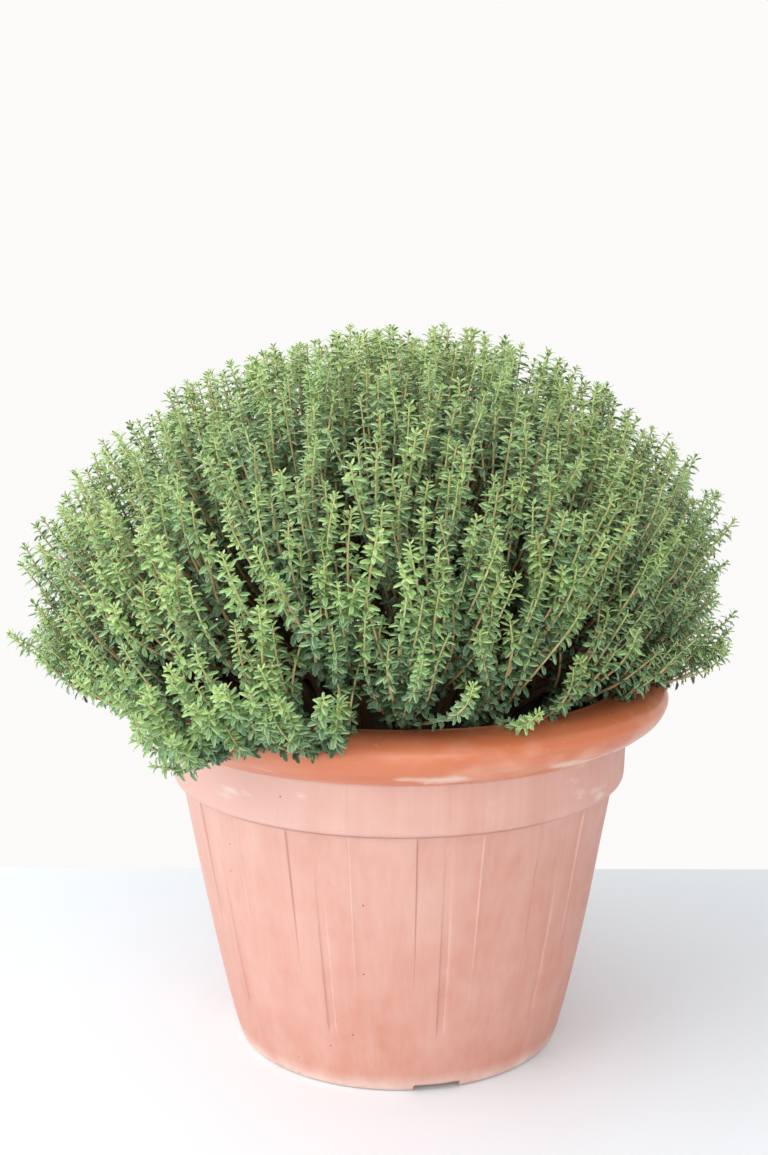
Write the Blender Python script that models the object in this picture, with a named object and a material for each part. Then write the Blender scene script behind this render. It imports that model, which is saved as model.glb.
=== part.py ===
"""Common thyme growing as a dense round bush in a moulded plastic pot.

Metres, +Z up. The pot stands on z = 0 with its axis on Z. Angles round the axis
are measured from the front (-Y), positive towards +X.
"""

import math
import random

import bmesh
import bpy
from mathutils import Matrix, Vector

# Pot
POT_HEIGHT = 0.205
FOOT_RADIUS = 0.0895
WAIST_RADIUS = 0.0973
WAIST_HEIGHT = 0.024
SHOULDER_RADIUS = 0.1212
SHOULDER_HEIGHT = 0.149
NECK_RADIUS = 0.1268
NECK_BOTTOM = 0.1535
COLLAR_BOTTOM = 0.1779
COLLAR_RADIUS = 0.150
LIP_RADIUS = 0.121
FLOOR_HEIGHT = 0.007
FOOT_RECESS = 0.003

# Flutes moulded into the pot's body, in degrees from the left edge of each one
FLUTE_COUNT = 11
FLUTE_START = 4.4
FLUTE_WIDTH = 16.4
PANEL_DEPTH = 0.0010
GROOVE_ANGLE = 8.0
GROOVE_HALF_ANGLE = 1.6
GROOVE_DEPTH = 0.0012

# Gaps under the foot and drain holes in the floor
NOTCH_COUNT = 3
NOTCH_ANGLE = 13.0
NOTCH_WIDTH = 0.025
NOTCH_HEIGHT = 0.004
DRAIN_COUNT = 6
DRAIN_RADIUS = 0.006
DRAIN_CIRCLE = 0.052

# Soil
SOIL_TOP = 0.181
FIT_GAP = 0.0003

# Bush: an upright dome that leans out over the collar
BUSH_RADIUS = 0.192
BUSH_MIDDLE = 0.236
BUSH_RISE = 0.160
BUSH_DROP = 0.125
ROOT_SPREAD = 0.088
WIDEST_LEAN = math.radians(112)

# Branches in each ring: name, lean of the ring in degrees, count, first azimuth
BRANCH_RINGS = (
    ("branch_top", 0, 1, 0),
    ("branch_upper", 24, 6, 14),
    ("branch_middle", 45, 11, 2),
    ("branch_lower", 66, 14, 11),
    ("branch_rim", 86, 14, 0),
)
# Branches that trail over the collar: azimuth in degrees
TRAILING_AZIMUTHS = (-116, -90, -64, -38, -13, 38, 64, 90, 117.5, 167)
TRAILING_LEAN = 109.5

STEM_RADIUS = 0.0021
SHOOT_RADIUS = 0.0080
SHOOT_SPACING = 0.0275
TRAILING_SCALE = 0.66
FORK_STARTS = (0.34, 0.46, 0.58)
TRAILING_FORK_STARTS = (0.34, 0.46)
# Where the first shoot of each opposite pair goes, across and up from the middle
# shoot, in shares of the spacing: all round, or spread flat over the collar
ROUND_PAIRS = ((0.26, 0.97), (0.97, 0.26), (0.71, -0.71))
FLAT_PAIRS = ((1.26, 0.06), (0.66, -0.28))
FORK_HALF = 0.018
COLLAR_CLEARANCE = 0.0034


def clear_scene():
    for old in list(bpy.data.objects):
        bpy.data.objects.remove(old, do_unlink=True)


def material(name, colour, roughness, metallic=0.0):
    made = bpy.data.materials.new(name)
    made.use_nodes = True
    shader = made.node_tree.nodes["Principled BSDF"]
    shader.inputs["Base Color"].default_value = (*colour, 1.0)
    shader.inputs["Roughness"].default_value = roughness
    shader.inputs["Metallic"].default_value = metallic
    made.diffuse_color = (*colour, 1.0)
    return made


def add_object(name, mesh, surface):
    made = bpy.data.objects.new(name, mesh)
    bpy.context.scene.collection.objects.link(made)
    mesh.materials.append(surface)
    return made


def smooth_step(value):
    value = min(max(value, 0.0), 1.0)
    return value * value * (3.0 - 2.0 * value)


def flute_columns():
    """Angles in degrees within one flute, with how much of the panel and the
    groove is cut at each."""
    middle = GROOVE_ANGLE
    half = GROOVE_HALF_ANGLE
    return (
        (0.0, 0.0, 0.0),
        (0.7, 1.0, 0.0),
        (middle - half, 1.0, 0.0),
        (middle, 1.0, 1.0),
        (middle + half, 1.0, 0.0),
        (FLUTE_WIDTH - 0.7, 1.0, 0.0),
        (FLUTE_WIDTH, 0.0, 0.0),
        (FLUTE_WIDTH + 5.4, 0.0, 0.0),
        (FLUTE_WIDTH + 10.8, 0.0, 0.0),
    )


def flute_cut(height, panel, groove):
    """Depth cut into the wall: the panel fades out downwards, and the groove in
    it deepens downwards and ends above the waist."""
    if height > SHOULDER_HEIGHT + 0.0001:
        return 0.0
    down = (SHOULDER_HEIGHT - height) / SHOULDER_HEIGHT
    panel_part = PANEL_DEPTH * (1.0 - smooth_step(down / 0.5))
    groove_part = GROOVE_DEPTH * (0.35 + 0.65 * smooth_step(down / 0.6))
    groove_part *= smooth_step((height - 0.033) / 0.006)
    return panel * panel_part + groove * groove_part


def outer_profile():
    """(radius, height, cut allowed) from the foot up to the collar's lower edge."""
    return (
        (FOOT_RADIUS, 0.0, False),
        (FOOT_RADIUS + 0.0022, 0.0022, False),
        (WAIST_RADIUS, WAIST_HEIGHT, False),
        (0.0992, 0.033, False),
        (0.1006, 0.039, True),
        (0.1050, 0.060, True),
        (0.1092, 0.082, True),
        (0.1150, 0.114, True),
        (SHOULDER_RADIUS, SHOULDER_HEIGHT, True),
        (SHOULDER_RADIUS + 0.0012, SHOULDER_HEIGHT + 0.0016, False),
        (NECK_RADIUS, NECK_BOTTOM + 0.002, False),
        (NECK_RADIUS + 0.0004, COLLAR_BOTTOM, False),
    )


def collar_profile():
    return (
        (0.1291, COLLAR_BOTTOM),
        (0.1415, 0.1846),
        (0.1478, 0.1905),
        (COLLAR_RADIUS, 0.1970),
        (0.1478, 0.2018),
        (0.1415, 0.2046),
        (0.1310, POT_HEIGHT),
        (LIP_RADIUS + 0.001, POT_HEIGHT - 0.0004),
        (LIP_RADIUS, POT_HEIGHT - 0.002),
    )


def inner_profile():
    return (
        (LIP_RADIUS - 0.0006, COLLAR_BOTTOM),
        (0.1172, 0.148),
        (0.1055, 0.082),
        (0.0930, 0.012),
        (0.0900, FLOOR_HEIGHT),
    )


def underside_profile():
    return (
        (0.0785, FOOT_RECESS),
        (0.0795, 0.0),
    )


def make_pot(surface):
    """A turned wall whose body carries the flutes: one ring of vertices for each
    profile point, bridged into a closed shell, with the notches and drain holes
    cut out of it."""
    rings = [(r, z, cut) for r, z, cut in outer_profile()]
    rings += [(r, z, False) for r, z in collar_profile()]
    rings += [(r, z, False) for r, z in inner_profile()]
    columns = [
        (FLUTE_START + 360.0 / FLUTE_COUNT * flute + angle, panel, groove)
        for flute in range(FLUTE_COUNT)
        for angle, panel, groove in flute_columns()
    ]
    shell = bmesh.new()

    def ring_of(radius, height, cut):
        found = []
        for angle, panel, groove in columns:
            depth = flute_cut(height, panel, groove) if cut else 0.0
            turn = math.radians(angle)
            reach = radius - depth
            spot = (reach * math.sin(turn), -reach * math.cos(turn), height)
            found.append(shell.verts.new(spot))
        return found

    def bridge(lower, upper):
        for at in range(len(lower)):
            after = (at + 1) % len(lower)
            shell.faces.new((lower[at], lower[after], upper[after], upper[at]))

    made = [ring_of(*ring) for ring in rings]
    for lower, upper in zip(made, made[1:]):
        bridge(lower, upper)
    shell.faces.new(made[-1])
    under = [ring_of(r, z, False) for r, z in underside_profile()]
    bridge(under[1], made[0])
    bridge(under[0], under[1])
    shell.faces.new(list(reversed(under[0])))
    bmesh.ops.recalc_face_normals(shell, faces=shell.faces)
    mesh = bpy.data.meshes.new("pot")
    shell.to_mesh(mesh)
    shell.free()
    mesh.shade_smooth()
    mesh.set_sharp_from_angle(angle=math.radians(35))
    pot = add_object("pot", mesh, surface)
    cut_from(pot, "Foot notches", notch_cutter())
    cut_from(pot, "Drain holes", drain_cutter())
    return pot


def add_cutter(name, shape):
    mesh = bpy.data.meshes.new(name)
    shape.to_mesh(mesh)
    shape.free()
    cutter = bpy.data.objects.new(name, mesh)
    bpy.context.scene.collection.objects.link(cutter)
    cutter.hide_render = True
    cutter.display_type = "WIRE"
    return cutter


def cut_from(target, name, cutter):
    modifier = target.modifiers.new(name, "BOOLEAN")
    modifier.operation = "DIFFERENCE"
    modifier.solver = "EXACT"
    modifier.object = cutter


def notch_cutter():
    """Boxes that run outwards through the foot ring."""
    shape = bmesh.new()
    for index in range(NOTCH_COUNT):
        turn = math.radians(NOTCH_ANGLE + 360.0 / NOTCH_COUNT * index)
        made = bmesh.ops.create_cube(shape, size=1.0)["verts"]
        bmesh.ops.scale(shape, vec=(NOTCH_WIDTH, 0.040, 2 * NOTCH_HEIGHT), verts=made)
        bmesh.ops.translate(shape, vec=(0.0, -0.0905, 0.0), verts=made)
        matrix = Matrix.Rotation(turn, 3, "Z")
        bmesh.ops.rotate(shape, cent=(0.0, 0.0, 0.0), matrix=matrix, verts=made)
    return add_cutter("foot_notch_cutter", shape)


def drain_cutter():
    """Upright cylinders through the floor."""
    shape = bmesh.new()
    for index in range(DRAIN_COUNT):
        made = bmesh.ops.create_cone(
            shape,
            cap_ends=True,
            segments=14,
            radius1=DRAIN_RADIUS,
            radius2=DRAIN_RADIUS,
            depth=0.02,
        )["verts"]
        turn = math.tau * index / DRAIN_COUNT
        spot = (DRAIN_CIRCLE * math.sin(turn), -DRAIN_CIRCLE * math.cos(turn), 0.005)
        bmesh.ops.translate(shape, vec=spot, verts=made)
    return add_cutter("drain_hole_cutter", shape)


def make_soil(surface):
    """The ball of soil that fills the pot, with a slightly domed top."""
    wall = [(r - 2 * FIT_GAP, z) for r, z in inner_profile()]
    profile = [(wall[4][0] - 0.001, FLOOR_HEIGHT + FIT_GAP)]
    profile += [wall[3], wall[2], wall[1]]
    profile += [(LIP_RADIUS - 0.0014, SOIL_TOP - 0.004), (0.104, SOIL_TOP - 0.0015)]
    profile += [(0.060, SOIL_TOP)]
    shape = bmesh.new()
    rings = []
    for radius, height in profile:
        made = bmesh.ops.create_circle(shape, segments=48, radius=radius)["verts"]
        bmesh.ops.translate(shape, vec=(0.0, 0.0, height), verts=made)
        rings.append(made)
    for lower, upper in zip(rings, rings[1:]):
        for at in range(48):
            after = (at + 1) % 48
            shape.faces.new((lower[at], lower[after], upper[after], upper[at]))
    shape.faces.new(list(reversed(rings[0])))
    shape.faces.new(rings[-1])
    bmesh.ops.recalc_face_normals(shape, faces=shape.faces)
    mesh = bpy.data.meshes.new("potting_soil")
    shape.to_mesh(mesh)
    shape.free()
    mesh.shade_smooth()
    mesh.set_sharp_from_angle(angle=math.radians(30))
    return add_object("potting_soil", mesh, surface)


def tilt(angle):
    return Vector((math.sin(angle), math.cos(angle)))


def clear_of_collar(spot, radius):
    """Moves a point of this thickness off the collar, whose section is close to
    a circle."""
    reach = math.hypot(spot.x, spot.y)
    middle = (COLLAR_RADIUS + LIP_RADIUS) / 2
    size = (COLLAR_RADIUS - LIP_RADIUS) / 2 + 0.0003
    away = Vector((reach - middle, spot.z - (POT_HEIGHT - size)))
    least = size + radius + COLLAR_CLEARANCE
    if reach < LIP_RADIUS * 0.8 or away.length > least:
        return spot
    away *= least / away.length
    scale = (middle + away.x) / reach
    return Vector((spot.x * scale, spot.y * scale, POT_HEIGHT - size + away.y))


def growth_point(along, lean):
    """A point on the line that a stem of this lean grows along, from the soil
    (0) to the surface of the bush (1). lean is a plane vector: its length is the
    angle from straight up and its direction the azimuth."""
    angle = lean.length
    share = angle / WIDEST_LEAN
    droop = smooth_step((angle - math.radians(84)) / math.radians(28))
    rise = BUSH_RISE if angle < math.pi / 2 else BUSH_DROP
    start = Vector((ROOT_SPREAD * share**0.85, SOIL_TOP + 0.0004))
    end = Vector(
        (BUSH_RADIUS * math.sin(angle), BUSH_MIDDLE + rise * math.cos(angle))
    )
    pull = (end - start).length * (0.38 + 0.30 * droop)
    leave = start + pull * tilt(0.45 * angle)
    arrive = end - pull * tilt(0.42 * angle + droop * math.radians(80))
    back = 1.0 - along
    flat = (
        start * back**3
        + leave * (3 * back * back * along)
        + arrive * (3 * back * along * along)
        + end * along**3
    )
    aim = lean.normalized() if angle > 1e-6 else Vector((0.0, 0.0))
    return Vector((flat.x * aim.x, flat.x * aim.y, flat.y))


def heading(azimuth):
    turn = math.radians(azimuth)
    return Vector((math.sin(turn), -math.cos(turn)))


def shoot_leans(lean, azimuth, spacing, pairs, jitter):
    """The lean of a branch's middle shoot, and those of each pair round it."""
    aim = heading(azimuth)
    across = Vector((-aim.y, aim.x))
    angle = math.radians(lean)
    middle = aim * angle
    reach = BUSH_RADIUS * math.sin(angle)
    side_scale = angle / reach if lean > 0 else 1.0 / BUSH_RADIUS
    found = []
    for side, up in pairs:
        for sign in (1, -1):
            size = sign * spacing * jitter.uniform(0.92, 1.05)
            shift = aim * (size * up / 0.178) + across * (size * side * side_scale)
            found.append(middle + shift)
    return middle, list(zip(found[0::2], found[1::2]))


def set_ring(face, centre, direction, radius):
    """Moves a four-sided face to a square round the centre, square to the
    direction and turned so that it twists least from where it was."""
    verts = [loop.vert for loop in face.loops]
    spots = [vert.co.copy() for vert in verts]
    axis = direction.normalized()
    first = spots[0] + spots[1] - spots[2] - spots[3]
    first = (first - axis * first.dot(axis)).normalized()
    second = axis.cross(first)
    half = radius / math.sqrt(2)
    signs = ((1, -1), (1, 1), (-1, 1), (-1, -1))
    for vert, (a, b) in zip(verts, signs):
        vert.co = centre + half * (a * first + b * second)


def extrude_to(shape, face, centre, direction, radius):
    """Extrudes a face to a square ring and returns the face at its end."""
    end = bmesh.ops.extrude_discrete_faces(shape, faces=[face])["faces"][0]
    set_ring(end, centre, direction, radius)
    return end


def close_to_point(shape, face, tip):
    point = bmesh.ops.poke(shape, faces=[face])["verts"][0]
    point.co = tip


def grow_stem(shape, spots, stops):
    """A square woody stem through the spots. Returns the face at its end and the
    four side faces of the short length at each fork."""
    bmesh.ops.create_cube(shape, size=2 * STEM_RADIUS)
    faces = sorted(shape.faces, key=lambda f: f.calc_center_median().z)
    bottom, face = faces[0], faces[-1]
    direction = spots[1] - spots[0]
    set_ring(bottom, spots[0], Vector((0.0, 0.0, -1.0)), STEM_RADIUS)
    set_ring(face, spots[1], direction, STEM_RADIUS)
    forks = []
    for index in range(2, len(spots)):
        after = spots[min(index + 1, len(spots) - 1)]
        radius = STEM_RADIUS * (1.0 - 0.35 * stops[index])
        old = set(face.edges)
        face = extrude_to(
            shape, face, spots[index], after - spots[index - 1], radius
        )
        if index % 2 == 0:
            sides = {side for edge in old for side in edge.link_faces}
            top = set(face.verts)
            forks.append([side for side in sides if top & set(side.verts)])
    return face, forks


def grow_shoot(shape, face, origin, leans, begin, length, width):
    """A leafy side shoot: a thin neck, then its widest point, then its tip. It
    moves from the branch's own lean to its goal's, fast at first."""
    own, goal = leans

    def at(share):
        along = begin + (length - begin) * share
        return growth_point(along, own.lerp(goal, share**0.5))

    neck = clear_of_collar(at(0.25), 0.002)
    wide = clear_of_collar(at(0.68), width)
    tip = clear_of_collar(at(1.0), 0.002)
    end = extrude_to(shape, face, neck, wide - origin, 0.0019)
    end = extrude_to(shape, end, wide, tip - neck, width)
    close_to_point(shape, end, tip)


def make_branch(name, place, scale, pairs, starts, surface, seed):
    """A woody stem that rises from the soil, forks in opposite pairs and ends in
    a leafy shoot."""
    jitter = random.Random(seed)
    spacing = SHOOT_SPACING * scale
    middle, goals = shoot_leans(*place, spacing, pairs, jitter)
    stops = [0.0]
    for fork in starts:
        stops += [fork - FORK_HALF, fork + FORK_HALF]
    spots = [
        clear_of_collar(growth_point(stop, middle), STEM_RADIUS) for stop in stops
    ]
    shape = bmesh.new()
    face, forks = grow_stem(shape, spots, stops)
    shape.normal_update()
    forward = 0.85 if pairs is FLAT_PAIRS else 0.0
    for pair, sides in enumerate(forks):
        below, above = spots[2 * pair + 1], spots[2 * pair + 2]
        origin = (below + above) / 2
        axis = (above - below).normalized()
        for goal in goals[pair]:
            base = origin.lerp(growth_point(0.9, middle), forward)
            aim = growth_point(0.9, goal) - base
            aim -= axis * aim.dot(axis)
            side = max(sides, key=lambda f: f.normal.dot(aim))
            sides.remove(side)
            length = jitter.uniform(0.94, 1.02)
            width = SHOOT_RADIUS * scale * jitter.uniform(0.9, 1.05)
            begin = starts[pair]
            grow_shoot(shape, side, origin, (middle, goal), begin, length, width)
    width = SHOOT_RADIUS * scale
    wide = clear_of_collar(growth_point(0.84, middle), width)
    top = clear_of_collar(growth_point(1.0, middle), 0.002)
    face = extrude_to(shape, face, wide, top - spots[-1], width)
    close_to_point(shape, face, top)
    bmesh.ops.recalc_face_normals(shape, faces=shape.faces)
    if shape.calc_volume(signed=True) < 0:
        bmesh.ops.reverse_faces(shape, faces=shape.faces)
    mesh = bpy.data.meshes.new(name)
    shape.to_mesh(mesh)
    shape.free()
    mesh.shade_smooth()
    mesh.set_sharp_from_angle(angle=math.radians(50))
    return add_object(name, mesh, surface)


def main():
    clear_scene()
    terracotta = material("Faded terracotta plastic", (0.72, 0.36, 0.26), 0.5)
    earth = material("Potting soil", (0.045, 0.032, 0.022), 0.95)
    leaves = material("Thyme foliage", (0.14, 0.20, 0.10), 0.7)
    young = material("Young thyme foliage", (0.19, 0.28, 0.09), 0.65)
    make_pot(terracotta)
    make_soil(earth)
    seed = 1
    for name, lean, count, first in BRANCH_RINGS:
        for index in range(count):
            label = f"{name}_{index + 1}" if count > 1 else name
            place = (lean, first + 360.0 * index / count)
            make_branch(label, place, 1.0, ROUND_PAIRS, FORK_STARTS, leaves, seed)
            seed += 1
    for index, azimuth in enumerate(TRAILING_AZIMUTHS):
        label = f"branch_trailing_{index + 1}"
        place, scale = (TRAILING_LEAN, azimuth), TRAILING_SCALE
        starts = TRAILING_FORK_STARTS
        make_branch(label, place, scale, FLAT_PAIRS, starts, young, seed)
        seed += 1


main()
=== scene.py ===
import math
import bpy
import numpy as np
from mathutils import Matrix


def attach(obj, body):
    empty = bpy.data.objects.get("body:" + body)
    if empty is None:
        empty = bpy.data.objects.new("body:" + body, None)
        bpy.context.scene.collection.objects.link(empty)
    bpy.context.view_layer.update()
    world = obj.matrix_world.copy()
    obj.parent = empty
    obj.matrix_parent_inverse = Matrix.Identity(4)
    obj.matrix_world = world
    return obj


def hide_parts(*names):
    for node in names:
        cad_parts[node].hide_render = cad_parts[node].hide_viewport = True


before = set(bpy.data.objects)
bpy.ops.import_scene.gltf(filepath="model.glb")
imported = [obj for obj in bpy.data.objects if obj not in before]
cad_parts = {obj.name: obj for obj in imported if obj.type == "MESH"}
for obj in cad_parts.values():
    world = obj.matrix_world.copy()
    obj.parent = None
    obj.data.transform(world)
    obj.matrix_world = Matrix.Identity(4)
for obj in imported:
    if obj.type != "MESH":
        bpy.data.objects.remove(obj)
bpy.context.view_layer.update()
rng = np.random.default_rng(20)


# Shared helpers for arrays of points

def smoothStep(low, high, value):  # 0 below low, 1 above high, and an S curve between
    t = np.clip((value - low) / (high - low), 0.0, 1.0)
    return t * t * (3.0 - 2.0 * t)


def unit(vectors):
    return vectors / np.maximum(np.linalg.norm(vectors, axis=-1, keepdims=True), 1e-12)


def ripple(points, scale, seed):  # smooth noise, mostly -1 to 1: nine sines in fixed random directions
    pick = np.random.default_rng(seed)
    waves = pick.normal(size=(9, 3)) / scale
    shifts = pick.uniform(0, math.tau, 9)
    return np.sin(points @ waves.T + shifts).sum(-1) / 4.2


def buildPiece(name, parts, materials):
    # parts holds (points, triangles, map place for each point or None, material number)
    points, faces, places, surfaces, start = [], [], [], [], 0
    for spots, triangles, uv, surface in parts:
        points.append(spots.reshape(-1, 3))
        faces.append(triangles.reshape(-1, 3) + start)
        if uv is not None:
            places.append(uv.reshape(-1, 2))
        surfaces.append(np.full(len(faces[-1]), surface))
        start += len(points[-1])
    points, faces = np.concatenate(points), np.concatenate(faces)
    surfaces = np.concatenate(surfaces)
    mesh = bpy.data.meshes.new(name)
    mesh.vertices.add(len(points))
    mesh.vertices.foreach_set("co", points.astype(np.float32).ravel())
    mesh.loops.add(faces.size)
    mesh.loops.foreach_set("vertex_index", faces.astype(np.int32).ravel())
    mesh.polygons.add(len(faces))
    mesh.polygons.foreach_set("loop_start", np.arange(0, faces.size, 3, dtype=np.int32))
    mesh.polygons.foreach_set("material_index", surfaces.astype(np.int32))
    if places:
        layer = mesh.uv_layers.new(name="OFBake")
        places = np.concatenate(places)
        layer.uv.foreach_set("vector", places[faces.ravel()].astype(np.float32).ravel())
    mesh.update(calc_edges=True)
    mesh.shade_smooth()
    for material in materials:
        mesh.materials.append(material)
    piece = bpy.data.objects.new(name, mesh)
    bpy.context.scene.collection.objects.link(piece)
    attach(piece, "root")
    return piece


def gridTriangles(rows, columns, closed):
    # two triangles for each cell of a grid of points; closed joins the last column to the first
    across = columns if closed else columns - 1
    row, column = np.meshgrid(np.arange(rows - 1), np.arange(across), indexing="ij")
    after = (column + 1) % columns
    a, b = row * columns + column, row * columns + after
    c, d = (row + 1) * columns + after, (row + 1) * columns + column
    return np.stack([np.stack([a, b, c], -1), np.stack([a, c, d], -1)], -2).reshape(-1, 3)


# Node helpers, and node groups that materials place with their own values

def nodeGroup(name, inputs, outputs):
    group = bpy.data.node_groups.new(name, "ShaderNodeTree")
    for label, kind, value in inputs:
        socket = group.interface.new_socket(label, in_out="INPUT", socket_type=kind)
        socket.default_value = value
    for label, kind in outputs:
        group.interface.new_socket(label, in_out="OUTPUT", socket_type=kind)
    return group, group.nodes.new("NodeGroupInput"), group.nodes.new("NodeGroupOutput")


def addNode(tree, kind, **settings):
    node = tree.nodes.new(kind)
    for key, value in settings.items():
        if key.startswith("in_"):
            node.inputs[key[3:].replace("_", " ")].default_value = value
        else:
            setattr(node, key, value)
    return node


def mathNode(tree, operation, first, second=None, third=None, clamp=False):
    node = addNode(tree, "ShaderNodeMath", operation=operation, use_clamp=clamp)
    for socket, value in zip(node.inputs, (first, second, third)):
        if value is None:
            continue
        if isinstance(value, (int, float)):
            socket.default_value = value
        else:
            tree.links.new(value, socket)
    return node.outputs[0]


def product(tree, first, *others):
    for value in others:
        first = mathNode(tree, "MULTIPLY", first, value)
    return first


def rangeNode(tree, value, low, high, most=1.0, least=0.0, curve="SMOOTHSTEP"):  # least at low, most at high
    node = addNode(tree, "ShaderNodeMapRange", interpolation_type=curve, in_From_Min=low, in_From_Max=high,
                   in_To_Min=least, in_To_Max=most)
    tree.links.new(value, node.inputs["Value"])
    return node.outputs[0]


def splitNode(tree, vector):  # the three numbers of a vector
    node = addNode(tree, "ShaderNodeSeparateXYZ")
    tree.links.new(vector, node.inputs[0])
    return node.outputs


def mixColour(tree, factor, first, second):
    node = addNode(tree, "ShaderNodeMix", data_type="RGBA")
    for socket, value in zip((node.inputs[0], node.inputs[6], node.inputs[7]), (factor, first, second)):
        if isinstance(value, (int, float)):
            socket.default_value = value
        elif isinstance(value, tuple):
            socket.default_value = (*value, 1.0)
        else:
            tree.links.new(value, socket)
    return node.outputs[2]


def rampNode(tree, factor, stops):  # stops holds (place, colour)
    node = addNode(tree, "ShaderNodeValToRGB")
    ramp = node.color_ramp
    while len(ramp.elements) < len(stops):
        ramp.elements.new(0.5)
    for element, (place, colour) in zip(ramp.elements, stops):
        element.position = place
        element.color = (*colour, 1.0)
    tree.links.new(factor, node.inputs[0])
    return node.outputs[0]


def noiseNode(tree, coordinates, scale, detail=3.0, roughness=0.55):
    node = addNode(tree, "ShaderNodeTexNoise", in_Scale=scale, in_Detail=detail, in_Roughness=roughness)
    tree.links.new(coordinates, node.inputs["Vector"])
    return node.outputs["Fac"]


def speckGroup():  # small round specks scattered over a surface, as a mask
    group, given, made = nodeGroup(
        "specks",
        [("Vector", "NodeSocketVector", (0, 0, 0)), ("Scale", "NodeSocketFloat", 200.0),
         ("Size", "NodeSocketFloat", 0.12), ("Share", "NodeSocketFloat", 0.2)],
        [("Mask", "NodeSocketFloat")])
    cells = addNode(group, "ShaderNodeTexVoronoi")
    group.links.new(given.outputs["Vector"], cells.inputs["Vector"])
    group.links.new(given.outputs["Scale"], cells.inputs["Scale"])
    near = mathNode(group, "LESS_THAN", cells.outputs["Distance"], given.outputs["Size"])
    split = addNode(group, "ShaderNodeSeparateColor")
    group.links.new(cells.outputs["Color"], split.inputs[0])
    chosen = mathNode(group, "LESS_THAN", split.outputs[0], given.outputs["Share"])
    group.links.new(mathNode(group, "MULTIPLY", near, chosen), made.inputs["Mask"])
    return group


def streakGroup():  # upright streaks where Stretch is under 1, and lying ones where it is over 1
    group, given, made = nodeGroup(
        "streaks",
        [("Vector", "NodeSocketVector", (0, 0, 0)), ("Scale", "NodeSocketFloat", 60.0),
         ("Stretch", "NodeSocketFloat", 0.08)],
        [("Mask", "NodeSocketFloat")])
    squash = addNode(group, "ShaderNodeCombineXYZ", in_X=1.0, in_Y=1.0)
    group.links.new(given.outputs["Stretch"], squash.inputs["Z"])
    turned = addNode(group, "ShaderNodeVectorMath", operation="MULTIPLY")
    group.links.new(given.outputs["Vector"], turned.inputs[0])
    group.links.new(squash.outputs[0], turned.inputs[1])
    noise = addNode(group, "ShaderNodeTexNoise", in_Detail=4.0)
    group.links.new(turned.outputs[0], noise.inputs["Vector"])
    group.links.new(given.outputs["Scale"], noise.inputs["Scale"])
    group.links.new(noise.outputs["Fac"], made.inputs["Mask"])
    return group


specks, streaks = speckGroup(), streakGroup()


def newMaterial(name, roughness):
    material = bpy.data.materials.new(name)
    material.use_nodes = True
    tree = material.node_tree
    shader = tree.nodes["Principled BSDF"]
    shader.inputs["Roughness"].default_value = roughness
    return material, tree, shader


def addBump(tree, shader, height, strength, distance):
    bump = addNode(tree, "ShaderNodeBump", in_Strength=strength, in_Distance=distance)
    tree.links.new(height, bump.inputs["Height"])
    tree.links.new(bump.outputs[0], shader.inputs["Normal"])


def placeGroup(tree, group, **inputs):
    node = addNode(tree, "ShaderNodeGroup", node_tree=group)
    for key, value in inputs.items():
        if isinstance(value, (int, float)):
            node.inputs[key].default_value = value
        else:
            tree.links.new(value, node.inputs[key])
    return node.outputs[0]


# Foliage materials. A leaf's part of the map holds its tint (0.3 old and darkest in the
# painted shade deep in the bush, to 1 young) across and the distance from its midrib upwards.
# A stem's part is below 0.26 and holds its redness across and its youth upwards.

leafLook = {
    "tints": ((0.30, (0.014, 0.052, 0.010)), (0.48, (0.092, 0.205, 0.080)), (0.64, (0.158, 0.322, 0.090)),
              (0.82, (0.275, 0.470, 0.105)), (1.0, (0.430, 0.620, 0.170))),
    # the pale margin colour is the leaf's own paler edge with a painted highlight on it
    "marginAndHighlight": (0.66, 0.79, 0.56), "marginFrom": 0.25, "marginShare": 0.50, "shadedTints": (0.30, 0.58),
    "shadedShare": 0.12, "under": (0.24, 0.38, 0.18), "underShare": 0.6, "roughness": 0.46,
}


def pieceMap(tree):
    return splitNode(tree, addNode(tree, "ShaderNodeUVMap", uv_map="OFBake").outputs[0])


def makeLeafMaterial(look):
    material, tree, shader = newMaterial("thymeLeaf", look["roughness"])
    spot = pieceMap(tree)
    tint = rampNode(tree, spot["X"], look["tints"])
    # old leaves, and leaves darkened as painted shade deep in the bush, have a fainter margin and underside,
    # so that the painted shade stays dark
    # the pale margin is the leaf's own paler rolled edge with a painted highlight along it
    edge = rangeNode(tree, spot["Y"], look["marginFrom"], 1.0, look["marginShare"])
    youngAndUnshaded = rangeNode(tree, spot["X"], *look["shadedTints"], 1.0, look["shadedShare"])
    top = mixColour(tree, product(tree, edge, youngAndUnshaded), tint, look["marginAndHighlight"])
    side = addNode(tree, "ShaderNodeNewGeometry")
    behind = product(tree, side.outputs["Backfacing"], product(tree, youngAndUnshaded, look["underShare"]))
    tree.links.new(mixColour(tree, behind, top, look["under"]), shader.inputs["Base Color"])
    return material


# the darkest stem colours, used at the foot of the sprigs and on the trunks, are dark old wood made near
# black as painted shade inside the bush
stemLook = {
    "tints": ((0.0, (0.022, 0.015, 0.009)), (0.30, (0.085, 0.048, 0.024)), (0.52, (0.42, 0.27, 0.12)),
              (0.78, (0.66, 0.55, 0.26)), (0.94, (0.60, 0.62, 0.25)), (1.0, (0.42, 0.58, 0.17))),
    "red": (0.40, 0.19, 0.10), "redScale": 4.0, "redShare": 0.6, "roughness": 0.6,
}


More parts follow.
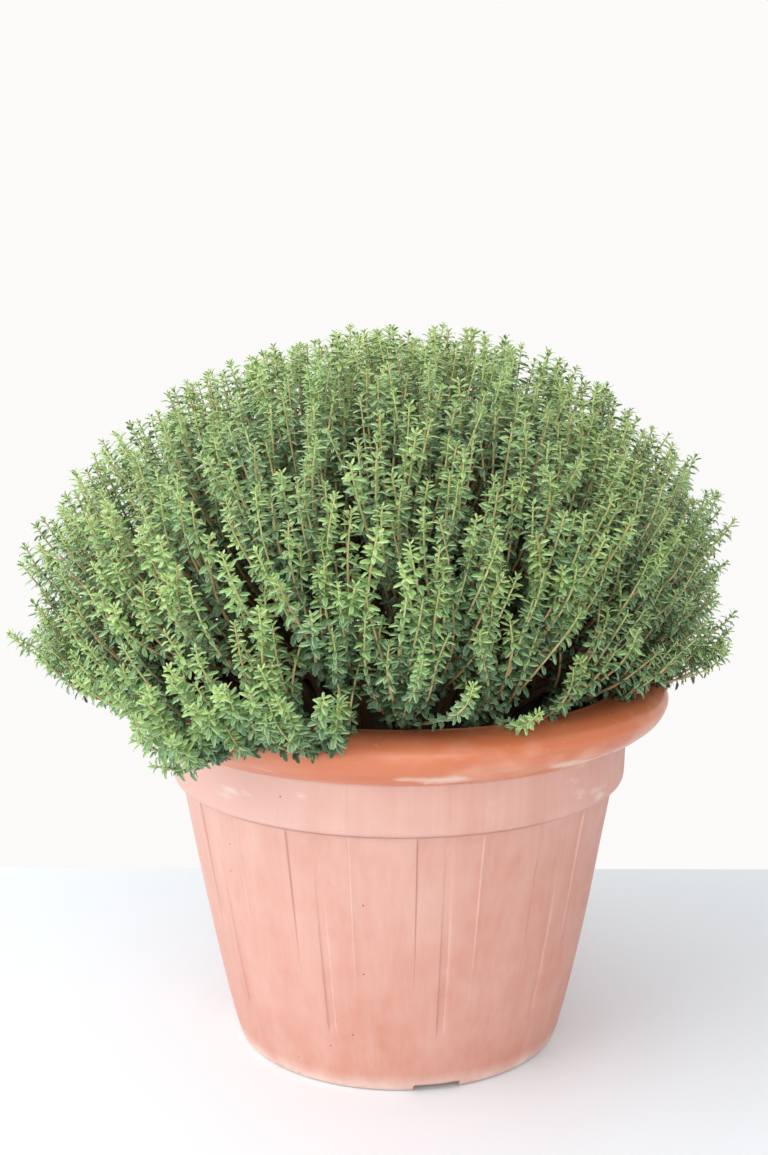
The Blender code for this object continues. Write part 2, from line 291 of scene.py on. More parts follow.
def makeStemMaterial(look):
    material, tree, shader = newMaterial("thymeStem", look["roughness"])
    spot = pieceMap(tree)
    colour = rampNode(tree, spot["Y"], look["tints"])
    redness = product(tree, spot["X"], look["redScale"], look["redShare"])
    tree.links.new(mixColour(tree, redness, colour, look["red"]), shader.inputs["Base Color"])
    return material


leafMaterial, stemMaterial = makeLeafMaterial(leafLook), makeStemMaterial(stemLook)

# The bush. A lean is a plane vector: its length is the angle from straight up and its
# direction the azimuth, so every stem follows one line from the soil to the surface.

bush = {
    "radius": 0.188, "middle": 0.238, "rise": 0.158, "drop": 0.125, "rootSpread": 0.088, "rootPower": 0.85,
    "soilTop": 0.1814, "widestLean": math.radians(112), "droopLeans": (math.radians(94), math.radians(114)),
    "leftSwell": 0.035, "leftLeans": (0.75, 1.25), "bulge": 0.06, "bulgeLean": 1.13, "bulgeSpread": 0.28,
    "hollow": 0.4, "hollowLean": 0.60, "hollowSpread": 0.24,
    "frontAzimuth": 34.0, "frontCut": 0.22, "frontPower": 3, "frontLeans": (0.7, 1.4),
    "pull": 0.38, "droopPull": 0.30, "leaving": 0.45, "leavingLow": 0.17,
    "lowLeans": (math.radians(55), math.radians(90)), "arriving": 0.37, "arrivingFront": 0.16,
    "droopTurn": math.radians(30),
    "collarMiddle": (0.1355, 0.1902), "collarSize": 0.0148, "collarInside": 0.09,
}
branchRings = (("branch_top", 0, 1, 0), ("branch_upper", 24, 6, 14), ("branch_middle", 45, 11, 2),
               ("branch_lower", 66, 14, 11), ("branch_rim", 86, 14, 0))
trailingBranches = (-116, -90, -64, -38, -13, 38, 64, 90, 116, 167)
trailingLean = 98.0


def leanOf(angle, azimuth):  # degrees to a lean vector
    turn, size = np.radians(azimuth), np.radians(angle)
    return np.stack([np.sin(turn) * size, -np.cos(turn) * size], -1)


def frontness(lean):  # 1 where the bush stops short of the collar, at the front right, and 0 elsewhere
    aim = lean / np.maximum(np.linalg.norm(lean, axis=-1), 1e-6)[..., None]
    turn = math.radians(bush["frontAzimuth"])
    toward = aim @ np.array([math.sin(turn), -math.cos(turn)])
    return np.clip(toward, 0, 1) ** bush["frontPower"]


def growthPoint(along, lean, size):
    # A cubic Bezier curve in the upright plane of the lean: it leaves the soil at under two
    # thirds of the lean's tilt and meets the surface of an ellipsoid with a flatter lower half.
    angle = np.linalg.norm(lean, axis=-1)
    aim = lean / np.maximum(angle, 1e-6)[..., None]
    droop = smoothStep(*bush["droopLeans"], angle)
    rise = np.where(angle < math.pi / 2, bush["rise"], bush["drop"])
    # the ellipsoid is wider at the left and in a belt, hollow above the belt and cut at the front
    swell = 1.0 + bush["leftSwell"] * np.clip(-aim[..., 0], 0, 1) ** 2 * smoothStep(*bush["leftLeans"], angle)
    belt = np.exp(-((angle - bush["bulgeLean"]) / bush["bulgeSpread"]) ** 2)
    hollow = np.exp(-((angle - bush["hollowLean"]) / bush["hollowSpread"]) ** 2)
    swell = swell + bush["bulge"] * (belt - bush["hollow"] * hollow)
    swell = swell - bush["frontCut"] * frontness(lean) * smoothStep(*bush["frontLeans"], angle)
    reach = bush["radius"] * swell * size
    start = np.stack([bush["rootSpread"] * (angle / bush["widestLean"]) ** bush["rootPower"],
                      np.broadcast_to(bush["soilTop"], angle.shape)], -1)
    end = np.stack([reach * np.sin(angle), bush["middle"] + rise * size * np.cos(angle)], -1)
    pull = np.linalg.norm(end - start, axis=-1) * (bush["pull"] + bush["droopPull"] * droop)
    leaving = angle * (bush["leaving"] + bush["leavingLow"] * smoothStep(*bush["lowLeans"], angle))
    arriving = angle * (bush["arriving"] - bush["arrivingFront"] * aim[..., 1] ** 2)
    arriving = arriving + droop * bush["droopTurn"]
    leave = start + pull[..., None] * np.stack([np.sin(leaving), np.cos(leaving)], -1)
    arrive = end - pull[..., None] * np.stack([np.sin(arriving), np.cos(arriving)], -1)
    t, back = along[..., None], 1.0 - along[..., None]
    flat = start * back**3 + leave * 3 * back * back * t + arrive * 3 * back * t * t + end * t**3
    return np.concatenate([flat[..., :1] * aim, flat[..., 1:]], -1)


def offCollar(points, clearance):  # moves points out of the round section of the pot's collar
    reach = np.linalg.norm(points[..., :2], axis=-1)
    middle, height = bush["collarMiddle"]
    away = np.stack([reach - middle, points[..., 2] - height], -1)
    least = bush["collarSize"] + clearance
    inside = np.linalg.norm(away, axis=-1) < least
    # what lies inside always goes over the top, so that no stem passes under the collar
    over = unit(np.stack([away[..., 0], np.maximum(away[..., 1], 0.2 * least)], -1))
    moved = np.where(inside[..., None], over * np.asarray(least)[..., None], away)
    scale = (middle + moved[..., 0]) / np.maximum(reach, 1e-6)
    # points well inside the pot's mouth stay where they are
    inMouth = reach < bush["collarInside"]
    scale = np.where(inMouth, 1.0, scale)
    raised = np.where(inMouth, points[..., 2], height + moved[..., 1])
    return np.concatenate([points[..., :2] * scale[..., None], raised[..., None]], -1)


sprigs = {
    "spacing": 0.0121, "spread": 0.022, "tilt": 0.30, "meanRadius": 0.172, "lowest": math.radians(95),
    "frontLeans": (math.radians(82), math.radians(88)), "frontLoss": 0.95, "trailing": 110,
    "trailingHighest": 89, "trailingSpread": 4.5, "inner": 230, "innerLean": 88, "innerSink": (0.09, 0.30),
    "forkFrom": 0.18, "forkTo": 0.46, "wander": 0.0046, "sink": 0.085, "longRise": 0.042, "longShare": 0.10,
    "strayPool": 14, "strayRise": 0.17, "steps": 14, "sides": 5, "stemRadius": 0.00095, "tipRadius": 0.00042,
    "mainRadius": 0.0023, "mainSteps": 16, "mainSides": 8, "mainClearance": 0.0028,
}


def branchTable():
    names, leans = [], []
    for name, lean, count, first in branchRings:
        for index in range(count):
            names.append(f"{name}_{index + 1}" if count > 1 else name)
            leans.append(leanOf(lean, first + 360.0 * index / count))
    for index, azimuth in enumerate(trailingBranches):
        names.append(f"branch_trailing_{index + 1}")
        leans.append(leanOf(trailingLean, azimuth))
    return names, np.array(leans)


def sprigLeans(settings):
    # Tips are laid on the surface by a golden-angle spiral. Their number in each band
    # of the dome goes by its area times the cosine between the sprigs and its normal.
    angle = np.linspace(0.0, settings["lowest"], 600)
    slant = np.cos(angle - settings["tilt"] * angle)
    strip = bush["radius"] * np.sin(angle) * settings["meanRadius"] * np.maximum(slant, 0.35)
    total = np.concatenate([[0.0], np.cumsum((strip[1:] + strip[:-1]) / 2 * np.diff(angle))]) * math.tau
    count = int(total[-1] / settings["spacing"] ** 2)
    leanAngle = np.interp((np.arange(count) + 0.5) / count * total[-1], total, angle)
    goldenAngle = 137.50776
    lean = leanOf(np.degrees(leanAngle), np.arange(count) * goldenAngle)
    lean += rng.normal(size=lean.shape) * settings["spread"]
    # most of the lowest ones at the front right are left out
    steep = smoothStep(*settings["frontLeans"], np.linalg.norm(lean, axis=-1))
    loss = settings["frontLoss"] * steep * smoothStep(0.2, 0.6, frontness(lean))
    return lean[rng.uniform(size=count) >= loss]


branchNames, branchLeans = branchTable()
mainLeans = sprigLeans(sprigs)
# Trailing sprigs gather at the front left, the left and the right: azimuth, share and lowest lean
trailingPools = ((-112, 11, 97), (-92, 13, 95), (-70, 12, 91), (-42, 7, 112), (-32, 12, 101), (-20, 10, 98),
                 (14, 5, 103), (44, 5, 92), (62, 6, 93), (84, 10, 97), (110, 10, 98), (165, 9, 101),
                 (-150, 9, 101))
pools, shares, lowest = np.array(trailingPools, float).T
picked = rng.choice(len(pools), sprigs["trailing"], p=shares / shares.sum())
trailLeans = leanOf(rng.uniform(sprigs["trailingHighest"], lowest[picked]),
                    pools[picked] + rng.normal(0, sprigs["trailingSpread"], sprigs["trailing"]))
# Short sprigs further in fill the bush
innerLeans = leanOf(rng.uniform(0.08, 1, sprigs["inner"]) ** 0.6 * sprigs["innerLean"],
                    rng.uniform(0, 360, sprigs["inner"]))
goal = np.concatenate([mainLeans, trailLeans, innerLeans])
sprigCount = len(goal)
isInner = np.arange(sprigCount) >= sprigCount - sprigs["inner"]
print("sprigs", sprigCount)

# Each sprig belongs to the branch whose lean is nearest to its own
apart = np.linalg.norm(goal[:, None] - branchLeans[None], axis=-1)
owner = apart.argmin(1)
own = branchLeans[owner]
hummock = ripple(np.concatenate([goal * 2.6, np.zeros((sprigCount, 1))], -1), 1.0, 4)
tipSize = 1.0 + 0.022 * hummock - sprigs["sink"] * rng.uniform(0, 1, sprigCount) ** 1.6 + 0.02
# Some trailing sprigs are longer, and those of one pool hang out over the collar
ofTrailing = slice(len(mainLeans), -sprigs["inner"])
tipSize[ofTrailing] += sprigs["longRise"] * (rng.uniform(size=sprigs["trailing"]) < sprigs["longShare"])
tipSize[ofTrailing] += sprigs["strayRise"] * (pools[picked] == sprigs["strayPool"])
tipSize -= isInner * rng.uniform(*sprigs["innerSink"], sprigCount)
bareness = rng.uniform(0, 1, sprigCount) ** 1.3
fork = rng.uniform(sprigs["forkFrom"], sprigs["forkTo"], sprigCount)
swayPhase = rng.uniform(0, math.tau, (sprigCount, 4))
swaySize = rng.uniform(0.4, 1.0, (sprigCount, 2)) * sprigs["wander"]
vigour = rng.uniform(0.86, 1.14, sprigCount)


def sprigPoint(share, rows=slice(None)):
    # share runs from 0 at the fork to 1 at the tip; the lean moves from the branch's own
    # to the sprig's, fast at first, and slow sines make the stem wander
    along = fork[rows, None] + (1.0 - fork[rows, None]) * share
    blend = (share**0.5)[..., None]
    lean = own[rows, None] * (1 - blend) + goal[rows, None] * blend
    size = 1.0 + (tipSize[rows, None] - 1.0) * share
    point = growthPoint(along, lean, size)
    phase, sway = swayPhase[rows], swaySize[rows]
    rise = share * share
    shift = np.stack([
        sway[:, :1] * rise * np.sin(4.2 * share + phase[:, :1]) * 1.5,
        sway[:, 1:] * rise * np.sin(4.8 * share + phase[:, 1:2]) * 1.5,
        sway[:, :1] * share * np.sin(3.0 * share + phase[:, 2:3]) * 0.4], -1)
    return offCollar(point + shift, 0.0016 + 0.0035 * smoothStep(0.3, 0.8, share))


def framesAlong(tangent):  # two unit vectors square to the stem, from one fixed slanting direction
    side = unit(np.cross(tangent, np.broadcast_to(np.array([0.31, 0.52, 0.05]), tangent.shape)))
    return side, np.cross(side, tangent)


def tubes(paths, radii, sides):
    # each path is a row of points; every point gets a ring of that radius square to the path
    tangent = unit(np.gradient(paths, axis=1))
    side, up = framesAlong(tangent)
    turn = np.arange(sides) * math.tau / sides
    ring = np.cos(turn)[:, None] * side[:, :, None] + np.sin(turn)[:, None] * up[:, :, None]
    points = paths[:, :, None] + ring * radii[:, :, None, None]
    cells = gridTriangles(paths.shape[1], sides, True)[:, ::-1]
    fan = np.arange(1, sides - 1)
    last = (paths.shape[1] - 1) * sides
    cap = np.stack([np.full(sides - 2, last), last + fan + 1, last + fan], -1)
    foot = np.stack([np.zeros(sides - 2, int), fan, fan + 1], -1)
    one = np.concatenate([cells, cap, foot])
    starts = np.arange(len(paths)) * paths.shape[1] * sides
    return points, (one[None] + starts[:, None, None]).reshape(-1, 3)


leafShape = {
    "stations": (0.0, 0.38, 0.80), "widths": (0.22, 1.0, 0.74),
    "acrossWide": (-1.0, -0.55, 0.0, 0.55, 1.0), "acrossSmall": (-1.0, 0.0, 1.0),
    "grooveSide": 0.55, "groove": 0.16, "roll": 0.30, "tipDrop": -0.1, "mapWidth": 0.012,
}


def leafTemplate(across):
    # an ellipse on a grid: width by station, with a groove at the midrib and margins
    # rolled under, closed by one point at the tip
    stations, widths = np.array(leafShape["stations"]), np.array(leafShape["widths"])
    across = np.array(across)
    x = np.repeat(stations[:, None], len(across), 1)
    w = np.repeat(across[None], len(stations), 0)
    y = w * widths[:, None]
    lift = np.where(np.abs(w) < 0.9, leafShape["groove"] * np.abs(w) / leafShape["grooveSide"],
                    -leafShape["roll"])
    z = np.where(np.abs(w) > 0, lift, 0.0) * widths[:, None]
    rows, columns = x.shape
    points = np.stack([x, y, z], -1).reshape(-1, 3)
    points = np.concatenate([points, [[1.0, 0.0, leafShape["tipDrop"]]]])
    edge = np.concatenate([np.abs(w).ravel(), [0.7]])
    last = (rows - 1) * columns + np.arange(columns - 1)
    tip = np.stack([last, last + 1, np.full(columns - 1, rows * columns)], -1)
    place = np.stack([leafShape["mapWidth"] * (points[:, 0] - 0.5), edge * 0.98 + 0.01], -1)
    return points, np.concatenate([gridTriangles(rows, columns, False), tip])[:, ::-1], place


def leaves(origin, axis, normal, length, width, curl, template):
    # every leaf is the template carried to its place and bent down along a circle
    points, faces, place = template
    across = np.cross(normal, axis)
    x, y, z = points[:, 0], points[:, 1], points[:, 2]
    turn = curl[:, None] * x
    ahead = np.sin(turn) / curl[:, None] * length[:, None]
    down = -(1.0 - np.cos(turn)) / curl[:, None] * length[:, None]
    half = width[:, None] / 2
    spots = (origin[:, None] + axis[:, None] * (ahead + z * half * np.sin(turn))[..., None]
             + across[:, None] * (y * half)[..., None]
             + normal[:, None] * (down + z * half * np.cos(turn))[..., None])
    starts = np.arange(len(origin)) * len(points)
    return spots, (faces[None] + starts[:, None, None]).reshape(-1, 3), place


wideLeaf = leafTemplate(leafShape["acrossWide"])
smallLeaf = leafTemplate(leafShape["acrossSmall"])

leafSet = {
    "fromTip": np.array([0.3, 1.2, 2.3, 3.9, 6.1, 9.0, 12.7, 17.2, 22.3, 27.8, 33.6, 39.6, 45.8,
                         52.2, 58.8, 65.6, 72.6, 80.0, 88.0, 96.0]) / 1000,
    "lengths": np.array([2.5, 3.7, 4.7, 5.5, 6.0, 6.4, 6.6, 6.7, 6.7, 6.6, 6.5, 6.4, 6.3, 6.2, 6.1,
                         6.0, 5.8, 5.6, 5.4, 5.2]) / 1000,
    "angles": np.radians([12, 22, 33, 43, 52, 59, 64, 68, 71, 73, 75, 77, 79, 80, 81, 82, 83, 84, 85, 86]),
    "aspect": 0.39, "smallAspect": 0.40, "axillary": 6, "axillaryFrom": 4, "axillaryTo": 15, "fine": 10,
    "lowestShare": 0.02, "roll": 0.22, "curl": (0.7, 1.75), "stalk": 0.0004, "axilStalk": 0.0006,
}


def leafField(settings):
    # a pair of leaves at every node, each pair turned a quarter from the last, then small
    # leaves in their axils; everything is worked out for all the sprigs at once
    ends = sprigPoint(np.broadcast_to(np.linspace(0, 1, 12), (sprigCount, 12)))
    stemLength = np.linalg.norm(np.diff(ends, axis=1), axis=-1).sum(1)
    fromTip = settings["fromTip"][None] * vigour[:, None]
    fromTip = fromTip * rng.uniform(0.92, 1.08, fromTip.shape)
    share = 1.0 - fromTip / stemLength[:, None]
    nodes = share.shape[1]
    alive = share > settings["lowestShare"]
    share = np.clip(share, settings["lowestShare"], 1.0)
    place = sprigPoint(share)
    tangent = unit(sprigPoint(np.minimum(share + 0.01, 1.01)) - sprigPoint(share - 0.01))
    side, up = framesAlong(tangent)
    spin = rng.uniform(0, math.tau, (sprigCount, 1)) + np.arange(nodes) * math.pi / 2
    spin = spin + rng.normal(0, 0.16, spin.shape)
    made = []

    def lay(turn, angle, length, out, rank, template, aspect, chosen):
        radial = np.cos(turn)[..., None] * side + np.sin(turn)[..., None] * up
        axis = np.cos(angle)[..., None] * tangent + np.sin(angle)[..., None] * radial
        normal = np.sin(angle)[..., None] * tangent - np.cos(angle)[..., None] * radial
        roll = rng.normal(0, settings["roll"], turn.shape)[..., None]
        normal = unit(normal + np.cross(axis, normal) * roll)
        made.append({
            "origin": (place + radial * out)[chosen], "axis": axis[chosen], "normal": normal[chosen],
            "length": length[chosen], "width": (length * aspect)[chosen],
            "curl": rng.uniform(*settings["curl"], turn.shape)[chosen],
            "tip": np.broadcast_to(fromTip, turn.shape)[chosen],
            "sprig": np.broadcast_to(np.arange(sprigCount)[:, None], turn.shape)[chosen],
            "rank": rank, "template": template})

    size = settings["lengths"][None] * vigour[:, None]
    stalk, aspect = settings["stalk"], settings["aspect"]
    for flip in (0.0, math.pi):
        angle = settings["angles"][None] + rng.normal(0, 0.14, spin.shape)
        length = size * rng.uniform(0.84, 1.12, spin.shape)
        near = np.arange(nodes) < settings["fine"]
        lay(spin + flip, angle, length, stalk, 0, wideLeaf, aspect, alive & near)
        lay(spin + flip, angle, length, stalk, 0, smallLeaf, aspect * 1.1, alive & ~near)
    alive &= (np.arange(nodes) >= settings["axillaryFrom"]) & (np.arange(nodes) < settings["axillaryTo"])
    for index in range(settings["axillary"]):
        turn = spin + math.pi * (index + 0.5) / 3 + rng.normal(0, 0.25, spin.shape)
        angle = np.radians(rng.uniform(30, 76, spin.shape))
        length = size * rng.uniform(0.45, 0.86, spin.shape)
        bare = bareness[:, None] * smoothStep(4, 8, np.arange(nodes)) * 0.9
        kept = alive & (rng.uniform(size=spin.shape) > bare)
        lay(turn, angle, length, settings["axilStalk"], 1, smallLeaf, settings["smallAspect"], kept)
    return made


fields = leafField(leafSet)
print("leaves", sum(len(field["origin"]) for field in fields))

# Fresher growth low down, above all at the front, and a little at the top
tipSpots = sprigPoint(np.ones((sprigCount, 1)))[:, 0]
freshness = 0.11 * ripple(tipSpots, 0.045, 9) + rng.normal(0, 0.07, sprigCount)
freshness += 0.10 * smoothStep(0.27, 0.20, tipSpots[:, 2]) + 0.05 * smoothStep(0.30, 0.39, tipSpots[:, 2])
freshness += 0.07 * smoothStep(0.0, 0.12, -tipSpots[:, 1]) * smoothStep(0.36, 0.24, tipSpots[:, 2])
stemTone = np.clip(rng.uniform(0, 1, sprigCount) ** 1.5, 0, 1)


# leaves further from a sprig's tip are darkened as painted shade inside the bush
foliage = {"tint": 0.54, "youngRise": 0.35, "youngLength": 0.009, "shadeFall": 0.24, "shadeFrom": (0.014, 0.048),
           "scatter": 0.05, "axilRise": 0.05, "stemRedness": 0.24, "mainRedness": 0.12}


def sideShift(shape, sides):  # gives each side of a stem a little width on the map
    turn = np.arange(sides) * math.tau / sides
    return np.broadcast_to(0.006 + 0.006 * np.sin(turn + 0.3), (*shape, sides))


def branchParts(index):
    rows = np.flatnonzero(owner == index)
    parts = []
    for field in fields:
        chosen = owner[field["sprig"]] == index
        spots, faces, place = leaves(field["origin"][chosen], field["axis"][chosen], field["normal"][chosen],
                                    field["length"][chosen], field["width"][chosen], field["curl"][chosen],
                                    field["template"])
        # lighter near the sprig's tip, where the leaves are young, and darker further in as painted shade for
        # the inside of the bush
        youngAndUnshaded = np.exp(-field["tip"][chosen] / foliage["youngLength"])
        paintedShade = smoothStep(*foliage["shadeFrom"], field["tip"][chosen])
        tint = foliage["tint"] + foliage["youngRise"] * youngAndUnshaded - foliage["shadeFall"] * paintedShade
        tint = tint + freshness[field["sprig"][chosen]] + rng.normal(0, foliage["scatter"], chosen.sum())
        tint = np.clip(tint + (foliage["axilRise"] if field["rank"] else 0.0), 0.31, 0.99)
        uv = place[None] + np.stack([tint, np.zeros(len(tint))], -1)[:, None]
        parts.append((spots, faces, uv, 0))
    steps = sprigs["steps"]
    share = np.broadcast_to(np.linspace(0, 1, steps), (len(rows), steps))
    if len(rows):
        radii = sprigs["tipRadius"] + (sprigs["stemRadius"] - sprigs["tipRadius"]) * (1 - share) ** 0.7
        spots, faces = tubes(sprigPoint(share, rows), radii * vigour[rows, None], sprigs["sides"])
        tone = stemTone[rows, None, None] * foliage["stemRedness"] + sideShift(share.shape, sprigs["sides"])
        ripe = np.broadcast_to((0.05 + 0.93 * share**0.75)[..., None], spots.shape[:3])
        parts.append((spots, faces, np.stack([tone, ripe], -1), 1))
    along = np.linspace(0.0, sprigs["forkTo"], sprigs["mainSteps"])[None]
    trunk = growthPoint(along, np.broadcast_to(branchLeans[index], (*along.shape, 2)), np.ones(along.shape))
    trunk = offCollar(trunk, sprigs["mainClearance"])
    radii = sprigs["mainRadius"] * (1.0 - 1.5 * along)
    spots, faces = tubes(trunk, radii, sprigs["mainSides"])
    tone = foliage["mainRedness"] + sideShift(along.shape, sprigs["mainSides"])
    # the trunks take the darkest stem colours: dark wood made near black as painted shade inside the bush
    ripe = np.broadcast_to((0.02 + 0.5 * along)[..., None], spots.shape[:3])
    parts.append((spots, faces, np.stack([tone, ripe], -1), 1))
    return parts


triangleCount = 0
for index, name in enumerate(branchNames):
    piece = buildPiece(name.replace("branch", "thyme"), branchParts(index), [leafMaterial, stemMaterial])
    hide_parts(name)
    triangleCount += len(piece.data.polygons)
print("branches made, triangles", triangleCount)


# The pot: one closed profile turned round the axis, with the flutes cut into its body

potShape = {
    "fluteCount": 11, "fluteStart": 4.4, "fluteWidth": 16.4, "panelDepth": 0.0008,
    "lineDepth": 0.0004, "ridgeHeight": 0.0004, "fluteFoot": (0.028, 0.040), "shoulder": 0.149,
    "grooveAngle": 7.9, "grooveDrift": 0.6, "grooveHalf": 1.0, "grooveDepth": 0.0010,
    "grooveFoot": (0.030, 0.040), "shortest": 0.0008, "step": 0.0064, "tipReach": 0.0004,
    "notchAngle": 13.0, "notchCount": 3, "notchWidth": 0.025, "notchHeight": 0.004,
    "profile": ((0.0, 0.003), (0.074, 0.003), (0.0790, 0.0026), (0.0800, 0.0004), (0.0810, 0.0),
                (0.0885, 0.0), (0.0902, 0.0006), (0.0915, 0.0024), (0.0925, 0.0050), (0.0973, 0.0240),
                (0.0992, 0.0330), (0.1006, 0.0390), (0.1050, 0.0600), (0.1092, 0.0820),
                (0.1150, 0.1140), (0.1212, 0.1490), (0.1215, 0.1500), (0.1248, 0.1508),
                (0.1262, 0.1524), (0.1267, 0.1555), (0.1272, 0.1776), (0.1284, 0.1781),
                (0.1293, 0.1783), (0.1345, 0.1806), (0.1415, 0.1846), (0.1462, 0.1886),
                (0.1490, 0.1932), (0.1500, 0.1970), (0.1492, 0.2000), (0.1468, 0.2024),
                (0.1425, 0.2042), (0.1370, 0.2050), (0.1290, 0.2050), (0.1248, 0.2046),
                (0.1236, 0.2049), (0.1222, 0.2049), (0.1212, 0.2042), (0.1208, 0.2025),
                (0.1204, 0.1950), (0.1204, 0.1779), (0.1172, 0.1480), (0.1055, 0.0820),
                (0.0930, 0.0120), (0.0900, 0.0070), (0.0, 0.0070)),
}


def turnedShape(reach, height, turn):
    # rings of points round the axis, one for each row, with the first and the last ring closed
    rows, columns = height.shape
    points = np.stack([reach * np.sin(turn), -reach * np.cos(turn), height], -1)
    fan = np.stack([np.zeros(columns - 2, int), np.arange(1, columns - 1), np.arange(2, columns)], -1)
    caps = np.concatenate([fan[:, ::-1], fan + (rows - 1) * columns])
    return points, np.concatenate([gridTriangles(rows, columns, True), caps])


def smoothProfile(points, shortest, step):
    # Rounds each corner by cutting it twice at a quarter of its sides (Chaikin), drops the
    # points that are too close together, then samples long stretches at even steps.
    line = np.array(points)
    for _ in range(2):
        quarter = line[:-1] * 0.75 + line[1:] * 0.25
        threeQuarters = line[:-1] * 0.25 + line[1:] * 0.75
        cut = np.stack([quarter, threeQuarters], 1).reshape(-1, 2)
        line = np.concatenate([line[:1], cut, line[-1:]])
    length = np.concatenate([[0], np.cumsum(np.linalg.norm(np.diff(line, axis=0), axis=1))])
    keep = [0]
    for index in range(1, len(line)):
        if length[index] - length[keep[-1]] >= shortest or index == len(line) - 1:
            keep.append(index)
    spots = [length[keep[0]]]
    for index in keep[1:]:
        count = max(int(round((length[index] - spots[-1]) / step)), 1)
        spots += list(np.linspace(spots[-1], length[index], count + 1)[1:])
    return np.stack([np.interp(spots, length, line[:, 0]), np.interp(spots, length, line[:, 1])], -1)


def potColumns(shape):
    # angles of one flute, close together at its two edges and at its groove
    middle, width = shape["grooveAngle"] + shape["grooveDrift"] / 2, shape["fluteWidth"]
    edge = np.array([-0.5, -0.2, -0.06, 0.06, 0.18, 0.32, 0.55, 1.0, 1.7])
    one = np.concatenate([
        edge, np.arange(3.2, middle - 2.3, 1.5), np.arange(middle - 2.0, middle + 2.05, 0.25),
        [middle + 3.2, middle + 4.7],
        width - edge[::-1], np.arange(width + 2.2, 360 / shape["fluteCount"] - 1.2, 2.0)])
    starts = np.arange(shape["fluteCount"])[:, None] * 360 / shape["fluteCount"]
    return np.sort((one + starts).ravel() + shape["fluteStart"])


def makePot(shape):
    line = smoothProfile(shape["profile"], shape["shortest"], shape["step"])
    line[0, 0] = line[-1, 0] = shape["tipReach"]
    reach, height = line[:, :1], line[:, 1:]
    outer = np.arange(len(line))[:, None] < np.argmax(line[:, 0])
    angle = potColumns(shape)[None]
    width, shoulder = shape["fluteWidth"], shape["shoulder"]
    within = (angle - shape["fluteStart"] + 1.2) % (360 / shape["fluteCount"]) - 1.2
    down = (shoulder - height) / shoulder
    # the panel's left edge is a thin cut line and its right edge a thin raised one; both
    # fade downwards
    fade = 1 - smoothStep(0.25, 0.72, down)
    panel = smoothStep(-0.02, 0.18, within) * smoothStep(width + 0.02, width - 0.18, within)
    panelCut = shape["panelDepth"] * (1 - smoothStep(0.0, 0.62, down))
    cutLine = np.exp(-((within - 0.16) / 0.11) ** 2) * shape["lineDepth"] * fade
    ridge = np.exp(-((within - width - 0.12) / 0.16) ** 2) * shape["ridgeHeight"] * fade
    # the groove is a flat-bottomed channel that widens, deepens and drifts on its way down
    drift = shape["grooveAngle"] + shape["grooveDrift"] * smoothStep(0.0, 0.8, down)
    half = shape["grooveHalf"] * (0.8 + 0.5 * smoothStep(0.0, 0.7, down))
    groove = smoothStep(half + 0.24, half - 0.22, np.abs(within - drift))
    deepening = 0.22 + 0.78 * smoothStep(0.05, 0.6, down)
    grooveCut = shape["grooveDepth"] * deepening * smoothStep(*shape["grooveFoot"], height)
    body = outer * smoothStep(*shape["fluteFoot"], height)
    body = body * smoothStep(shoulder + 0.0006, shoulder - 0.0004, height)
    r = reach - body * (panel * panelCut + cutLine - ridge + groove * grooveCut)
    z = np.broadcast_to(height, r.shape)
    # gaps under the foot
    pitch = 360 / shape["notchCount"]
    notch = (angle - shape["notchAngle"] + pitch / 2) % pitch - pitch / 2
    across = np.abs(np.sin(np.radians(notch)) * r) < shape["notchWidth"] / 2
    inNotch = across & (r > 0.078) & (z < shape["notchHeight"])
    z = np.where(inNotch, shape["notchHeight"], z)
    return *turnedShape(r, z, np.radians(angle)), None


potLook = {
    "collar": (0.58, 0.140, 0.044), "collarFadedAndLit": (0.80, 0.330, 0.200), "body": (0.59, 0.240, 0.168),
    "bodyPale": (0.74, 0.455, 0.385), "scuff": (0.90, 0.78, 0.69), "speck": (0.16, 0.08, 0.06),
    "shadeLine": (0.40, 0.150, 0.085), "haze": (0.86, 0.47, 0.34),
    # heights between which something comes or goes
    "collarHeights": (0.1775, 0.1800), "neckHeights": (0.146, 0.1525), "bandStart": (0.150, 0.156),
    "bandEnd": (0.1900, 0.1850), "fluteFoot": (0.031, 0.040), "fluteTop": 0.1485, "footHeights": (0.012, 0.0),
    "upperPaleHeights": (0.0, 0.16), "stepHeight": 0.1497, "stepReach": (0.0011, 0.0003),
    # where the painted light from the left starts and where it is full
    "litSidePlaces": (0.06, -0.15),
    # how much each thing adds
    "litSideShare": 0.45, "cloudShare": 0.55, "fadeAndLightShare": 0.8, "upperPaleRise": 0.42, "neckRise": 0.28,
    # shares of the painted highlight and painted shade lines on the flute edges, and of the painted shade
    # under the step
    "neckBase": 0.35, "litEdgeShare": 0.50, "shadedEdgeShare": 0.45, "stepShare": 0.55, "hazeShare": 0.5,
    "bandShare": 0.62, "bloomShare": 1.15, "speckShare": 0.8,
    "roughness": 0.58, "collarGloss": 0.34, "roughScatter": 0.18, "bumpStrength": 0.12, "bumpDepth": 0.0006,
}


